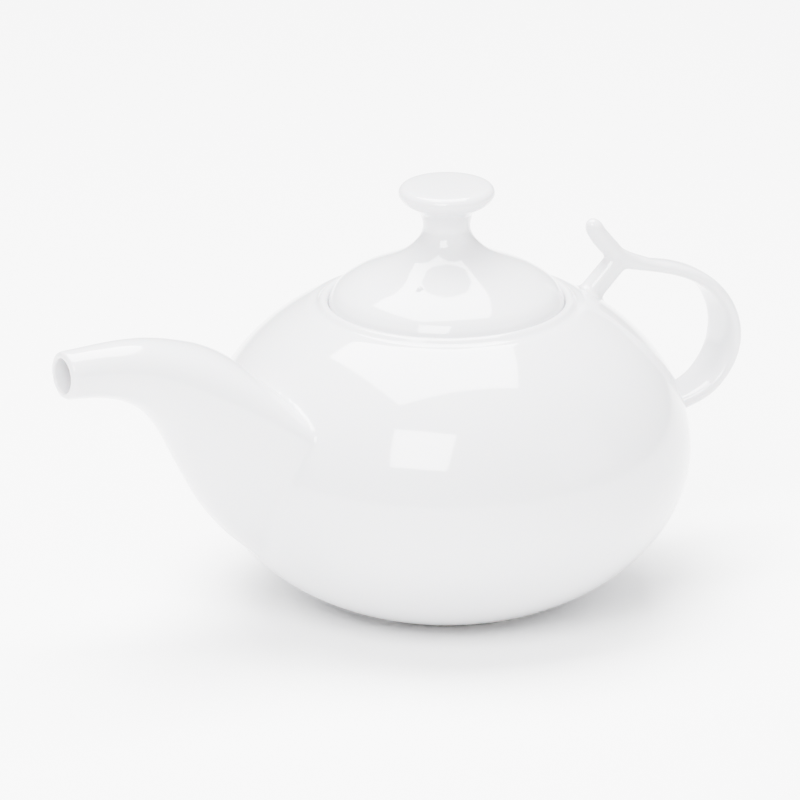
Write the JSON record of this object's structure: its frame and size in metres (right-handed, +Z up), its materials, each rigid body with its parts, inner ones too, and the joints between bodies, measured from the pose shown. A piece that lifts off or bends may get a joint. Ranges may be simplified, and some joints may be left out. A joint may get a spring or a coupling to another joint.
{
  "type": "porcelain teapot",
  "caption": "Round porcelain teapot with a wide-rooted spout, an open loop handle with thumb rest, and a loose domed lid with a mushroom knob.",
  "frame": {"origin": "in the plane of the foot, midway between the spout's tip and the back of the handle", "axes": "+Z up along the pot's axis, spout towards -X, handle towards +X"},
  "size_m": [0.27, 0.1712, 0.1511],
  "materials": {
    "porcelain": "clear gloss glaze over white porcelain",
    "biscuit": "unglazed, finely ground foot"
  },
  "bodies": {
    "pot": {"body_shell": "porcelain", "foot_ring": "biscuit", "rim_ring": "porcelain", "spout": "porcelain", "handle_post": "porcelain", "handle_strap": "porcelain", "thumb_rest": "porcelain"},
    "lid": {"lid_dome": "porcelain", "lid_collar": "porcelain", "lid_knob": "porcelain"}
  },
  "joints": [
    {"name": "lid_lift", "type": "slide", "parent": "pot", "child": "lid", "axis": [0, 0, 1], "range_m": [0, 0.06]}
  ]
}
